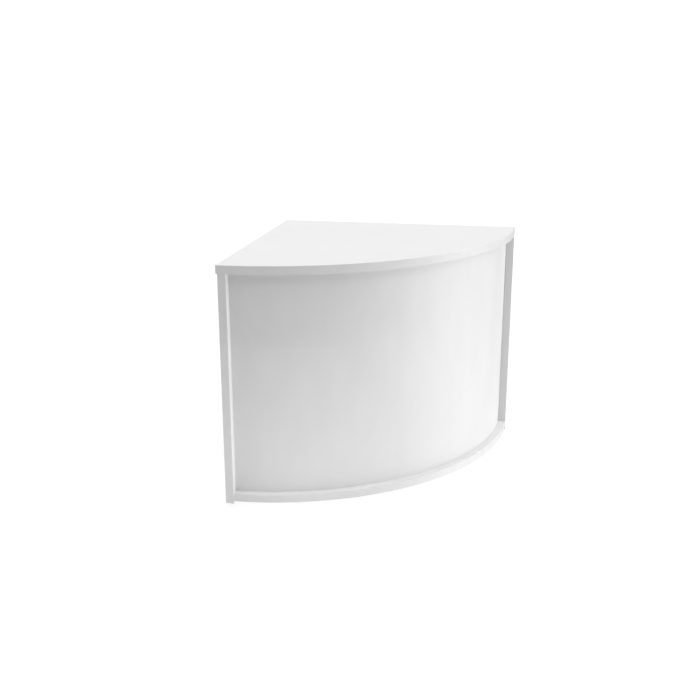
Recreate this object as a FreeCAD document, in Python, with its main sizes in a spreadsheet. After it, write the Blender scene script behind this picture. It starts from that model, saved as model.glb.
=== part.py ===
"""Quarter-round corner counter unit: worktop, two end panels, raised base and a curved fascia.

The unit stands on the floor at z = 0 with its origin under the middle of its square plan.
The two end panels meet at the apex, which is the rear left corner of that square. Boards are
drawn in the apex frame: x runs from the apex along the left end panel, towards its front edge,
and y along the right end panel. One placement turns that frame into the unit's own.
"""

import FreeCAD, Part

import os
import Sketcher

doc = FreeCAD.newDocument("corner_counter_unit")
dims = doc.addObject("Spreadsheet::Sheet", "dims")

CELLS = [
    # overall
    ("reach", 800.0, "length of each straight edge of the worktop, and radius of its front"),
    ("panel_height", 700.0, "end panels, foot insert to worktop"),
    ("foot_height", 15.0, "underside of the end panels above the floor, feet screwed in"),
    ("board", 25.0, "worktop, end panels and base"),
    # edges
    ("edging", 2.0, "plastic edging on every visible board edge"),
    ("edge_round", 1.0, "rounding of the edging's outer corners"),
    ("side_inset", 4.0, "outer faces of the end panels, in from the worktop's straight edges"),
    ("front_inset", 1.0, "front edges of the end panels, in from the worktop's reach"),
    # base and fascia
    ("base_setback", 1.0, "front of the base, in from the front edges of the end panels"),
    ("base_raise", 7.0, "underside of the base above the underside of the end panels"),
    ("fascia_recess", 25.0, "face of the fascia, in from the front edges of the end panels"),
    ("fascia_thick", 8.0, "bendable board"),
    ("groove_depth", 8.0, "fascia grooves in the worktop and the base"),
    ("side_groove", 4.0, "fascia grooves in the end panels"),
    ("groove_gap", 0.2, "clearance beside the fascia in its grooves"),
    ("fascia_play", 0.5, "clearance above the fascia and at its two ends"),
    # cam fittings and dowels
    ("cam_radius", 7.5, "cam housing"),
    ("cam_depth", 18.0, "cam housing, along its axis"),
    ("cam_reach", 34.0, "cam axis from the joint"),
    ("bolt_radius", 3.5, "cam bolt shank"),
    ("bolt_hole_radius", 4.0, "bore for the shank"),
    ("screw_radius", 2.5, "cam bolt thread, cut into the board"),
    ("screw_length", 11.0, "cam bolt thread"),
    ("cap_radius", 8.5, "cover cap over a cam"),
    ("cap_thick", 1.2, "cover cap over a cam"),
    ("dowel_radius", 4.0, "beech dowel"),
    ("dowel_face", 12.0, "dowel length in the board's face"),
    ("dowel_edge", 18.0, "dowel length in the board's edge"),
    ("dowel_play", 1.0, "clearance at the bottom of a dowel or screw hole"),
    ("top_cam_inset", 90.0, "outer cams of the worktop and the corner, from the board's ends"),
    ("top_dowel_inset", 180.0, "dowels of the worktop and the corner, from the board's ends"),
    ("base_cam_inset", 140.0, "outer cams of the base, from the end panel's ends"),
    ("base_dowel_inset", 220.0, "dowels of the base, from the end panel's ends"),
    # threaded sleeves that link this unit to its neighbours
    ("link_radius", 5.0, "outside of the sleeve"),
    ("link_bore", 3.0, "M6 thread, nominal radius"),
    ("link_length", 13.0, "sleeve"),
    ("link_inset", 160.0, "sleeves from the end panel's ends"),
    ("link_height", 120.0, "sleeves from the end panel's underside and top"),
    # levelling feet, M8
    ("foot_inset", 80.0, "foot axis from the front and the rear of what it stands under"),
    ("insert_radius", 5.5, "barrel of the threaded insert"),
    ("insert_length", 15.0, "barrel of the threaded insert"),
    ("flange_radius", 10.0, "flange of the threaded insert"),
    ("flange_thick", 1.0, "flange of the threaded insert"),
    ("stem_radius", 4.0, "M8 stem"),
    ("thread_gap", 0.05, "radial running clearance of stem and neck"),
    ("stem_top", 26.0, "top of the stem above the insert's underside"),
    ("stem_chamfer", 1.0, "lead-in at the top of the stem"),
    ("stem_hole_radius", 4.5, "clearance hole above the insert"),
    ("stem_hole_depth", 30.0, "clearance hole, from the insert's underside"),
    ("hex_flats", 13.0, "spanner size of the stem's collar"),
    ("hex_height", 6.5, "collar of the stem"),
    ("turn_gap", 0.3, "axial clearance at the collar and under the stem's head"),
    ("neck_radius", 3.0, "stem inside the pad"),
    ("head_radius", 4.8, "riveted head under the pad's shoulder"),
    ("head_thick", 1.1, "riveted head"),
    ("head_side_gap", 0.5, "radial clearance around the head"),
    ("head_lift", 0.5, "underside of the head above the floor"),
    ("pad_radius", 12.0, "foot pad"),
    ("pad_crown", 9.0, "top of the foot pad"),
    ("pad_slope", 2.5, "height of the pad's sloping shoulder"),
    ("pad_chamfer", 0.8, "lower rim of the foot pad"),
    ("block_radius", 30.0, "packer that brings the centre foot level with the others"),
]

for row, (alias, number, note) in enumerate(CELLS, start=1):
    dims.set(f"A{row}", alias)
    dims.set(f"B{row}", str(number))
    dims.set(f"C{row}", note)
    dims.setAlias(f"B{row}", alias)
doc.recompute()

# Levels above the floor, and places in the apex frame, as expressions of the sheet's cells.
PANEL_BOTTOM = "dims.foot_height"
PANEL_TOP = "(dims.foot_height + dims.panel_height)"
WORKTOP_TOP = "(dims.foot_height + dims.panel_height + dims.board)"
BASE_BOTTOM = "(dims.foot_height + dims.base_raise)"
BASE_MIDDLE = "(dims.foot_height + dims.base_raise + dims.board / 2)"
BASE_TOP = "(dims.foot_height + dims.base_raise + dims.board)"
OUTER = "dims.side_inset"
MIDDLE = "(dims.side_inset + dims.board / 2)"
INNER = "(dims.side_inset + dims.board)"
FRONT = "(dims.reach - dims.front_inset)"
BOARD_FRONT = "(dims.reach - dims.front_inset - dims.edging)"
BOARD_REAR = "(dims.side_inset + dims.edging)"
BASE_RADIUS = "(dims.reach - dims.front_inset - dims.base_setback)"
FASCIA_RADIUS = "(dims.reach - dims.front_inset - dims.fascia_recess)"
SEAT_BOTTOM = "(dims.side_inset + dims.board - dims.side_groove)"
COLLAR_BOTTOM = "(dims.foot_height - dims.flange_thick - dims.turn_gap - dims.hex_height)"
PAD_TOP = f"({COLLAR_BOTTOM} - dims.turn_gap)"
HEAD_TOP = "(dims.head_lift + dims.head_thick)"

sub_parts = []


def value(expression):
    """The number that an expression gives with the sheet's present cells."""
    result = dims.evalExpression(expression)
    return float(getattr(result, "Value", result))


def sub_part(kind, name):
    """A new object of the document that becomes one exported node."""
    piece = doc.addObject(kind, name)
    piece.Label = name
    sub_parts.append(piece)
    return piece


def place_in_apex_frame(piece):
    """Turn the apex frame's x axis to the unit's -Y, and its origin to the rear left corner."""
    turn = FreeCAD.Rotation(FreeCAD.Vector(0, 0, 1), -90)
    piece.Placement = FreeCAD.Placement(FreeCAD.Vector(0, 0, 0), turn)
    piece.setExpression("Placement.Base.x", "-dims.reach / 2")
    piece.setExpression("Placement.Base.y", "dims.reach / 2")


def place_over_floor(piece, x, y):
    """Stand a turned piece, drawn about the z axis, at a place given in the apex frame."""
    piece.setExpression("Placement.Base.x", f"{y} - dims.reach / 2")
    piece.setExpression("Placement.Base.y", f"dims.reach / 2 - {x}")


def new_sketch(body, name, plane, level):
    """A sketch parallel to an origin plane, at a coordinate of the axis across that plane."""
    sketch = body.newObject("Sketcher::SketchObject", f"{body.Name}_{name}")
    roles = {feature.Role: feature for feature in body.Origin.OriginFeatures}
    sketch.AttachmentSupport = [(roles[f"{plane}_Plane"], "")]
    sketch.MapMode = "FlatFace"
    towards = "-" if plane == "XZ" else ""
    sketch.setExpression("AttachmentOffset.Base.z", f"{towards}({level})")
    return sketch


def bind(sketch, constraint, expression):
    """Add a dimensional constraint and drive it from the sheet."""
    index = sketch.addConstraint(constraint)
    sketch.setExpression(f"Constraints[{index}]", expression)


def pin(sketch, edge, vertex, place):
    """Fix one point of the sketch at two expressions, measured from the sketch's origin."""
    for kind, expression in zip(("DistanceX", "DistanceY"), place):
        constraint = Sketcher.Constraint(kind, -1, 1, edge, vertex, value(expression))
        bind(sketch, constraint, expression)


def draw_outline(sketch, corners):
    """A closed outline of straight lines through corners given as pairs of expressions."""
    points = [FreeCAD.Vector(value(x), value(y), 0) for x, y in corners]
    edges = []
    for start, end in zip(points, points[1:] + points[:1]):
        edges.append(sketch.addGeometry(Part.LineSegment(start, end)))
    for edge, following, corner in zip(edges, edges[1:] + edges[:1], corners):
        sketch.addConstraint(Sketcher.Constraint("Coincident", edge, 2, following, 1))
        pin(sketch, edge, 1, corner)


def draw_rectangle(sketch, low, high):
    """A rectangle between two corners given as pairs of expressions."""
    corners = [low, (high[0], low[1]), high, (low[0], high[1])]
    draw_outline(sketch, corners)


def draw_circles(sketch, radius, centres):
    """Circles of one radius at centres given as pairs of expressions."""
    for centre in centres:
        middle = FreeCAD.Vector(value(centre[0]), value(centre[1]), 0)
        normal = FreeCAD.Vector(0, 0, 1)
        edge = sketch.addGeometry(Part.Circle(middle, normal, value(radius)))
        pin(sketch, edge, 3, centre)
        bind(sketch, Sketcher.Constraint("Radius", edge, value(radius)), radius)


def draw_arc(sketch, radius, x_low, y_low):
    """An arc about the apex, from the line y = y_low to the line x = x_low."""
    size = value(radius)
    across = value(x_low)
    up = value(y_low)
    start = FreeCAD.Vector((size**2 - up**2) ** 0.5, up, 0)
    end = FreeCAD.Vector(across, (size**2 - across**2) ** 0.5, 0)
    middle = (start + end).normalize() * size
    edge = sketch.addGeometry(Part.Arc(start, middle, end))
    sketch.addConstraint(Sketcher.Constraint("Coincident", edge, 3, -1, 1))
    bind(sketch, Sketcher.Constraint("Radius", edge, size), radius)
    bind(sketch, Sketcher.Constraint("DistanceY", -1, 1, edge, 1, up), y_low)
    bind(sketch, Sketcher.Constraint("DistanceX", -1, 1, edge, 2, across), x_low)
    return edge, start, end


def draw_sector(sketch, radius, x_low, y_low):
    """A quarter disc about the apex, cut off at x = x_low and y = y_low."""
    arc, start, end = draw_arc(sketch, radius, x_low, y_low)
    corner = FreeCAD.Vector(value(x_low), value(y_low), 0)
    side = sketch.addGeometry(Part.LineSegment(end, corner))
    rear = sketch.addGeometry(Part.LineSegment(corner, start))
    sketch.addConstraint(Sketcher.Constraint("Coincident", arc, 2, side, 1))
    sketch.addConstraint(Sketcher.Constraint("Coincident", side, 2, rear, 1))
    sketch.addConstraint(Sketcher.Constraint("Coincident", rear, 2, arc, 1))
    pin(sketch, rear, 1, (x_low, y_low))


def draw_band(sketch, inner, outer, x_low, y_low):
    """A band between two arcs about the apex, cut off at x = x_low and y = y_low."""
    near, near_start, near_end = draw_arc(sketch, inner, x_low, y_low)
    far, far_start, far_end = draw_arc(sketch, outer, x_low, y_low)
    first = sketch.addGeometry(Part.LineSegment(near_start, far_start))
    last = sketch.addGeometry(Part.LineSegment(near_end, far_end))
    for line, vertex in ((first, 1), (last, 2)):
        sketch.addConstraint(Sketcher.Constraint("Coincident", line, 1, near, vertex))
        sketch.addConstraint(Sketcher.Constraint("Coincident", line, 2, far, vertex))


def pad(body, sketch, length):
    """Raise a sketch along its plane's normal."""
    feature = body.newObject("PartDesign::Pad", f"{sketch.Name}_pad")
    feature.Profile = sketch
    feature.setExpression("Length", length)
    sketch.Visibility = False
    doc.recompute()


def pocket(body, sketch, depth, sign):
    """Cut a sketch into the body towards plus or minus the axis across its plane."""
    doc.recompute()
    before = body.Shape.Volume
    feature = body.newObject("PartDesign::Pocket", f"{sketch.Name}_pocket")
    feature.Profile = sketch
    feature.setExpression("Length", depth)
    plane_normal = -1 if sketch.AttachmentSupport[0][0].Role == "XZ_Plane" else 1
    feature.Reversed = sign == plane_normal
    doc.recompute()
    if body.Shape.Volume > before - 1:
        raise RuntimeError(f"{feature.Name} removes nothing")


def revolve(body, sketch):
    """Turn a sketch drawn on the XZ plane once round the body's z axis."""
    feature = body.newObject("PartDesign::Revolution", f"{sketch.Name}_turned")
    feature.Profile = sketch
    feature.ReferenceAxis = (sketch, ["V_Axis"])
    feature.Angle = 360
    doc.recompute()


def round_edges(body, chosen):
    """Round the edges that the test picks, as far as the edging's thickness allows."""
    base = body.Tip
    names = [f"Edge{i}" for i, edge in enumerate(base.Shape.Edges, start=1) if chosen(edge)]
    feature = body.newObject("PartDesign::Fillet", f"{body.Name}_rounding")
    feature.Base = (base, names)
    feature.setExpression("Radius", "min(dims.edge_round; dims.edging * 0.6)")
    doc.recompute()


def drill(body, name, plane, level, sign, radius, depth, centres):
    """Round holes of one size, from a coordinate level into the body."""
    sketch = new_sketch(body, name, plane, level)
    draw_circles(sketch, radius, centres)
    pocket(body, sketch, depth, sign)


def board(name, low, high, bottom, height):
    """An upright rectangular board, drawn in plan in the apex frame."""
    body = sub_part("PartDesign::Body", name)
    sketch = new_sketch(body, "plan", "XY", bottom)
    draw_rectangle(sketch, low, high)
    pad(body, sketch, height)
    place_in_apex_frame(body)
    return body


# Each side lists places along its end panel: (start of the board, end of the board).
SIDES = {"left": (BOARD_REAR, BOARD_FRONT), "right": (INNER, BOARD_FRONT)}


def outer_and_middle(ends, inset):
    """Three places along a board: an inset from each end, and its middle."""
    start, end = ends
    return [f"{start} + {inset}", f"({start} + {end}) / 2", f"{end} - {inset}"]


def outer_pair(ends, inset):
    """Two places along a board, an inset from each end."""
    start, end = ends
    return [f"{start} + {inset}", f"{end} - {inset}"]


UPRIGHT = (PANEL_BOTTOM, PANEL_TOP)
TOP_CAMS = {side: outer_and_middle(ends, "dims.top_cam_inset") for side, ends in SIDES.items()}
TOP_DOWELS = {side: outer_pair(ends, "dims.top_dowel_inset") for side, ends in SIDES.items()}
BASE_CAMS = {side: outer_and_middle(ends, "dims.base_cam_inset") for side, ends in SIDES.items()}
BASE_DOWELS = {side: outer_pair(ends, "dims.base_dowel_inset") for side, ends in SIDES.items()}
LINKS = {side: outer_pair(ends, "dims.link_inset") for side, ends in SIDES.items()}
LINK_LEVELS = outer_pair(UPRIGHT, "dims.link_height")
CORNER_CAMS = outer_and_middle(UPRIGHT, "dims.top_cam_inset")
CORNER_DOWELS = outer_pair(UPRIGHT, "dims.top_dowel_inset")

SCREW_HOLE = "dims.screw_length + dims.dowel_play"
FACE_HOLE = "dims.dowel_face + dims.dowel_play"
EDGE_HOLE = "dims.dowel_edge + dims.dowel_play"

PANEL_FEET = {
    "left_front": (f"({FRONT} - dims.foot_inset)", MIDDLE),
    "left_rear": ("(dims.side_inset + dims.foot_inset)", MIDDLE),
    "right_front": (MIDDLE, f"({FRONT} - dims.foot_inset)"),
    "right_rear": (MIDDLE, f"({INNER} + dims.foot_inset)"),
}
CENTRE_FOOT = (
    f"(({BASE_RADIUS} - dims.foot_inset) / sqrt(2))",
    f"(({BASE_RADIUS} - dims.foot_inset) / sqrt(2))",
)


def in_plan(side, along, across):
    """A place in plan: along an end panel, and across it from the worktop's edge."""
    return (along, across) if side == "left" else (across, along)


def worktop():
    """Quarter-disc board with a groove for the fascia and fixing holes in its underside."""
    body = sub_part("PartDesign::Body", "worktop")
    sketch = new_sketch(body, "plan", "XY", PANEL_TOP)
    draw_sector(sketch, "dims.reach - dims.edging", "dims.edging", "dims.edging")
    pad(body, sketch, "dims.board")
    groove = new_sketch(body, "groove", "XY", PANEL_TOP)
    draw_band(
        groove,
        f"{FASCIA_RADIUS} - dims.fascia_thick - dims.groove_gap",
        f"{FASCIA_RADIUS} + dims.groove_gap",
        SEAT_BOTTOM,
        SEAT_BOTTOM,
    )
    pocket(body, groove, "dims.groove_depth", 1)
    cams = [in_plan(side, along, MIDDLE) for side in SIDES for along in TOP_CAMS[side]]
    dowels = [in_plan(side, along, MIDDLE) for side in SIDES for along in TOP_DOWELS[side]]
    drill(body, "screw_holes", "XY", PANEL_TOP, 1, "dims.screw_radius", SCREW_HOLE, cams)
    drill(body, "dowel_holes", "XY", PANEL_TOP, 1, "dims.dowel_radius", FACE_HOLE, dowels)
    place_in_apex_frame(body)


def curved_edging(name, radius, side_limit, bottom):
    """Edging strip bent round the curved front of a board."""
    body = sub_part("PartDesign::Body", name)
    sketch = new_sketch(body, "plan", "XY", bottom)
    draw_band(sketch, f"{radius} - dims.edging", radius, side_limit, side_limit)
    pad(body, sketch, "dims.board")
    outside = value(radius)

    def is_outer_rim(edge):
        return isinstance(edge.Curve, Part.Circle) and abs(edge.Curve.Radius - outside) < 0.01

    round_edges(body, is_outer_rim)
    place_in_apex_frame(body)


def straight_edging(name, low, high, bottom, height, outer_x=None, outer_y=None):
    """Edging strip on a straight board edge, rounded along its outer face's long edges."""
    body = board(name, low, high, bottom, height)
    longest = max(edge.Length for edge in body.Tip.Shape.Edges)

    def is_outer_long_edge(edge):
        middle = edge.BoundBox.Center
        on_face = any(
            wanted is not None and abs(place - value(wanted)) < 0.01
            for wanted, place in ((outer_x, middle.x), (outer_y, middle.y))
        )
        return on_face and edge.Length > 0.99 * longest

    round_edges(body, is_outer_long_edge)


def worktop_side_edgings():
    """Strips on the worktop's two straight edges; the left one covers the rear corner."""
    strip_end = "sqrt(pow(dims.reach - dims.edging; 2) - pow(dims.edging; 2))"
    left_low = ("0", "0")
    left_high = (strip_end, "dims.edging")
    straight_edging(
        "worktop_left_edging", left_low, left_high, PANEL_TOP, "dims.board", outer_y="0"
    )
    right_low = ("0", "dims.edging")
    right_high = ("dims.edging", strip_end)
    straight_edging(
        "worktop_right_edging", right_low, right_high, PANEL_TOP, "dims.board", outer_x="0"
    )


def fascia_seat():
    """Where the fascia's two faces cross an end panel's groove, measured along that panel."""
    near = f"sqrt(pow({FASCIA_RADIUS} - dims.fascia_thick; 2) - pow({INNER}; 2))"
    far = f"sqrt(pow({FASCIA_RADIUS}; 2) - pow({SEAT_BOTTOM}; 2))"
    return f"{near} - dims.groove_gap", f"{far} + dims.groove_gap"


def end_panel(side):
    """Upright board: fixing holes for worktop, base and neighbours, fascia groove, foot holes."""
    start, end = SIDES[side]
    body = board(
        f"{side}_end_panel",
        in_plan(side, start, OUTER),
        in_plan(side, end, INNER),
        PANEL_BOTTOM,
        "dims.panel_height",
    )
    plane = "XZ" if side == "left" else "YZ"
    cams = [(along, f"{PANEL_TOP} - dims.cam_reach") for along in TOP_CAMS[side]]
    bolts = [in_plan(side, along, MIDDLE) for along in TOP_CAMS[side]]
    dowels = [in_plan(side, along, MIDDLE) for along in TOP_DOWELS[side]]
    drill(body, "cam_holes", plane, INNER, -1, "dims.cam_radius", "dims.cam_depth", cams)
    drill(body, "bolt_holes", "XY", PANEL_TOP, -1, "dims.bolt_hole_radius", "dims.cam_reach", bolts)
    drill(body, "dowel_holes", "XY", PANEL_TOP, -1, "dims.dowel_radius", EDGE_HOLE, dowels)

    groove = new_sketch(body, "groove", plane, INNER)
    near, far = fascia_seat()
    draw_rectangle(groove, (near, f"{BASE_TOP} - dims.groove_depth"), (far, PANEL_TOP))
    pocket(body, groove, "dims.side_groove", -1)

    base_screws = [(along, BASE_MIDDLE) for along in BASE_CAMS[side]]
    base_dowels = [(along, BASE_MIDDLE) for along in BASE_DOWELS[side]]
    drill(body, "base_screw_holes", plane, INNER, -1, "dims.screw_radius", SCREW_HOLE, base_screws)
    drill(body, "base_dowel_holes", plane, INNER, -1, "dims.dowel_radius", FACE_HOLE, base_dowels)

    links = [(along, level) for along in LINKS[side] for level in LINK_LEVELS]
    link_hole = "dims.link_length + dims.dowel_play"
    drill(body, "link_holes", plane, OUTER, 1, "dims.link_radius", link_hole, links)

    feet = [place for name, place in PANEL_FEET.items() if name.startswith(side)]
    drill(
        body, "insert_holes", "XY", PANEL_BOTTOM, 1, "dims.insert_radius", "dims.insert_length", feet
    )
    drill(
        body, "stem_holes", "XY", PANEL_BOTTOM, 1, "dims.stem_hole_radius", "dims.stem_hole_depth", feet
    )
    return body


def corner_joint_holes(left, right):
    """Holes of the butt joint between the right panel's rear end and the left panel's face."""
    screws = [(MIDDLE, level) for level in CORNER_CAMS]
    dowels = [(MIDDLE, level) for level in CORNER_DOWELS]
    drill(left, "corner_screw_holes", "XZ", INNER, -1, "dims.screw_radius", SCREW_HOLE, screws)
    drill(left, "corner_dowel_holes", "XZ", INNER, -1, "dims.dowel_radius", FACE_HOLE, dowels)
    drill(right, "corner_bolt_holes", "XZ", INNER, 1, "dims.bolt_hole_radius", "dims.cam_reach", screws)
    drill(right, "corner_dowel_holes", "XZ", INNER, 1, "dims.dowel_radius", EDGE_HOLE, dowels)
    cams = [(f"{INNER} + dims.cam_reach", level) for level in CORNER_CAMS]
    drill(right, "corner_cam_holes", "YZ", INNER, -1, "dims.cam_radius", "dims.cam_depth", cams)


def panel_edgings():
    """Strips on the panels' front edges and on the left panel's exposed rear edge."""
    for side in SIDES:
        outer = {"outer_x": FRONT} if side == "left" else {"outer_y": FRONT}
        straight_edging(
            f"{side}_panel_front_edging",
            in_plan(side, BOARD_FRONT, OUTER),
            in_plan(side, FRONT, INNER),
            PANEL_BOTTOM,
            "dims.panel_height",
            **outer,
        )
    straight_edging(
        "left_panel_rear_edging",
        (OUTER, OUTER),
        (BOARD_REAR, INNER),
        PANEL_BOTTOM,
        "dims.panel_height",
        outer_x=OUTER,
    )


def base_panel():
    """Quarter-disc board between the end panels, with the fascia's lower groove on top."""
    body = sub_part("PartDesign::Body", "base_panel")
    sketch = new_sketch(body, "plan", "XY", BASE_BOTTOM)
    draw_sector(sketch, f"{BASE_RADIUS} - dims.edging", INNER, INNER)
    pad(body, sketch, "dims.board")
    groove = new_sketch(body, "groove", "XY", BASE_TOP)
    draw_band(
        groove,
        f"{FASCIA_RADIUS} - dims.fascia_thick - dims.groove_gap",
        f"{FASCIA_RADIUS} + dims.groove_gap",
        INNER,
        INNER,
    )
    pocket(body, groove, "dims.groove_depth", -1)
    for side, plane in (("left", "XZ"), ("right", "YZ")):
        screws = [(along, BASE_MIDDLE) for along in BASE_CAMS[side]]
        dowels = [(along, BASE_MIDDLE) for along in BASE_DOWELS[side]]
        cams = [in_plan(side, along, f"{INNER} + dims.cam_reach") for along in BASE_CAMS[side]]
        hole = "dims.bolt_hole_radius"
        drill(body, f"{side}_bolt_holes", plane, INNER, 1, hole, "dims.cam_reach", screws)
        drill(body, f"{side}_dowel_holes", plane, INNER, 1, "dims.dowel_radius", EDGE_HOLE, dowels)
        hole = "dims.cam_radius"
        drill(body, f"{side}_cam_holes", "XY", BASE_BOTTOM, 1, hole, "dims.cam_depth", cams)
    barrel = "dims.insert_length - dims.base_raise"
    stem = "dims.stem_hole_depth - dims.base_raise"
    drill(body, "insert_hole", "XY", BASE_BOTTOM, 1, "dims.insert_radius", barrel, [CENTRE_FOOT])
    drill(body, "stem_hole", "XY", BASE_BOTTOM, 1, "dims.stem_hole_radius", stem, [CENTRE_FOOT])
    place_in_apex_frame(body)


def curved_fascia():
    """Bent board that stands in the base's groove and reaches up into the worktop's."""
    body = sub_part("PartDesign::Body", "curved_fascia")
    sketch = new_sketch(body, "plan", "XY", f"{BASE_TOP} - dims.groove_depth")
    end = f"{SEAT_BOTTOM} + dims.fascia_play"
    draw_band(sketch, f"{FASCIA_RADIUS} - dims.fascia_thick", FASCIA_RADIUS, end, end)
    height = f"{PANEL_TOP} - {BASE_TOP} + 2 * dims.groove_depth - dims.fascia_play"
    pad(body, sketch, height)
    place_in_apex_frame(body)


TURNS = {
    "X": FreeCAD.Rotation(FreeCAD.Vector(0, 1, 0), 90),
    "Y": FreeCAD.Rotation(FreeCAD.Vector(1, 0, 0), -90),
    "Z": FreeCAD.Rotation(),
}


def rod(name, start, axis, radius, length):
    """A round rod from a start point in the apex frame along plus X, Y or Z."""
    cylinder = doc.addObject("Part::Cylinder", name)
    cylinder.Placement = FreeCAD.Placement(FreeCAD.Vector(0, 0, 0), TURNS[axis])
    cylinder.setExpression("Radius", radius)
    cylinder.setExpression("Height", length)
    for letter, expression in zip("xyz", start):
        cylinder.setExpression(f"Placement.Base.{letter}", expression)
    return cylinder


def group(name, members):
    """Identical fasteners that share one node as separate solids."""
    compound = sub_part("Part::Compound", name)
    compound.Links = members
    place_in_apex_frame(compound)


def shifted(place, axis, distance):
    """A place moved along X, Y or Z by an expression."""
    moved = list(place)
    moved["XYZ".index(axis)] += f" + ({distance})"
    return tuple(moved)


def cam_fitting(name, point, bolt_axis, bolt_sign, cam_axis, face_sign):
    """One cam and its bolt, about the point where the bolt crosses the joint.

    The bolt's thread runs on from that point in the direction of bolt_sign and its shank
    runs back to the cam. The cam is let in from the board face on the side of face_sign.
    """
    centre = shifted(point, bolt_axis, f"{-bolt_sign} * dims.cam_reach")
    bottom = "dims.board / 2 - dims.cam_depth" if face_sign > 0 else "-dims.board / 2"
    seat = shifted(centre, cam_axis, bottom)
    low = centre if bolt_sign > 0 else point
    tip = point if bolt_sign > 0 else shifted(point, bolt_axis, "-dims.screw_length")

    cam = doc.addObject("Part::Cut", f"{name}_cam")
    cam.Base = rod(f"{name}_blank", seat, cam_axis, "dims.cam_radius", "dims.cam_depth")
    cam.Tool = rod(f"{name}_bore", low, bolt_axis, "dims.bolt_hole_radius", "dims.cam_reach")

    bolt = doc.addObject("Part::Fuse", f"{name}_bolt")
    bolt.Base = rod(f"{name}_shank", low, bolt_axis, "dims.bolt_radius", "dims.cam_reach")
    bolt.Tool = rod(f"{name}_thread", tip, bolt_axis, "dims.screw_radius", "dims.screw_length")
    return cam, bolt


def joint_fittings(name, joints):
    """The cams and the cam bolts of one joint, each kind as one node."""
    fittings = [cam_fitting(f"{name}_{i}", *joint) for i, joint in enumerate(joints)]
    group(f"{name}_cams", [cam for cam, bolt in fittings])
    group(f"{name}_cam_bolts", [bolt for cam, bolt in fittings])


def joint_dowels(name, centres):
    """Dowels of one joint; each centre is the joint point and the dowel's axis and sign."""
    length = "dims.dowel_face + dims.dowel_edge"
    members = []
    for i, (point, axis, sign) in enumerate(centres):
        depth = "dims.dowel_edge" if sign > 0 else "dims.dowel_face"
        low = shifted(point, axis, f"-{depth}")
        members.append(rod(f"{name}_dowel_{i}", low, axis, "dims.dowel_radius", length))
    group(f"{name}_dowels", members)


def worktop_fixings():
    """Cams in the end panels' inner faces pull the worktop down; dowels place it."""
    joints = []
    dowels = []
    for side, across in (("left", "Y"), ("right", "X")):
        for along in TOP_CAMS[side]:
            joints.append(((*in_plan(side, along, MIDDLE), PANEL_TOP), "Z", 1, across, 1))
        for along in TOP_DOWELS[side]:
            dowels.append(((*in_plan(side, along, MIDDLE), PANEL_TOP), "Z", 1))
    joint_fittings("worktop", joints)
    joint_dowels("worktop", dowels)


def base_fixings():
    """Cams in the underside of the base, under cover caps, pull it to the end panels."""
    joints = []
    dowels = []
    caps = []
    for side, across in (("left", "Y"), ("right", "X")):
        for along in BASE_CAMS[side]:
            point = (*in_plan(side, along, INNER), BASE_MIDDLE)
            joints.append((point, across, -1, "Z", -1))
            centre = in_plan(side, along, f"{INNER} + dims.cam_reach")
            below = (*centre, f"{BASE_BOTTOM} - dims.cap_thick")
            name = f"{side}_base_cap_{len(caps)}"
            caps.append(rod(name, below, "Z", "dims.cap_radius", "dims.cap_thick"))
        for along in BASE_DOWELS[side]:
            dowels.append(((*in_plan(side, along, INNER), BASE_MIDDLE), across, -1))
    joint_fittings("base", joints)
    joint_dowels("base", dowels)
    group("base_cam_caps", caps)


def corner_fixings():
    """Cams in the right panel's inner face pull its rear end against the left panel."""
    joints = [((MIDDLE, INNER, level), "Y", -1, "X", 1) for level in CORNER_CAMS]
    joint_fittings("corner", joints)
    joint_dowels("corner", [((MIDDLE, INNER, level), "Y", -1) for level in CORNER_DOWELS])


def link_sleeves(side, axis):
    """Threaded sleeves, flush with an end panel's outer face, for bolting units together."""
    sleeves = []
    for along in LINKS[side]:
        for level in LINK_LEVELS:
            start = (*in_plan(side, along, OUTER), level)
            name = f"{side}_sleeve_{len(sleeves)}"
            sleeve = doc.addObject("Part::Cut", name)
            sleeve.Base = rod(f"{name}_body", start, axis, "dims.link_radius", "dims.link_length")
            sleeve.Tool = rod(f"{name}_bore", start, axis, "dims.link_bore", "dims.link_length")
            sleeves.append(sleeve)
    group(f"{side}_link_sleeves", sleeves)


def foot_inserts():
    """Flanged threaded inserts pressed into the undersides, one over each foot."""
    inserts = []
    for i, (x, y) in enumerate([*PANEL_FEET.values(), CENTRE_FOOT]):
        seat = (x, y, PANEL_BOTTOM)
        lip = (x, y, f"{PANEL_BOTTOM} - dims.flange_thick")
        length = "dims.insert_length + dims.flange_thick"
        blank = doc.addObject("Part::Fuse", f"insert_{i}_blank")
        blank.Base = rod(
            f"insert_{i}_barrel", seat, "Z", "dims.insert_radius", "dims.insert_length"
        )
        blank.Tool = rod(f"insert_{i}_flange", lip, "Z", "dims.flange_radius", "dims.flange_thick")
        insert = doc.addObject("Part::Cut", f"insert_{i}")
        insert.Base = blank
        insert.Tool = rod(
            f"insert_{i}_bore", lip, "Z", "dims.stem_radius + dims.thread_gap", length
        )
        inserts.append(insert)
    group("foot_inserts", inserts)


def centre_foot_block():
    """Round packer under the base, bored for the insert, so that all five feet are alike."""
    x, y = CENTRE_FOOT
    block = sub_part("Part::Cut", "centre_foot_block")
    low = (x, y, PANEL_BOTTOM)
    block.Base = rod("block_disc", low, "Z", "dims.block_radius", "dims.base_raise")
    block.Tool = rod("block_bore", low, "Z", "dims.insert_radius", "dims.base_raise")
    place_in_apex_frame(block)


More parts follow.
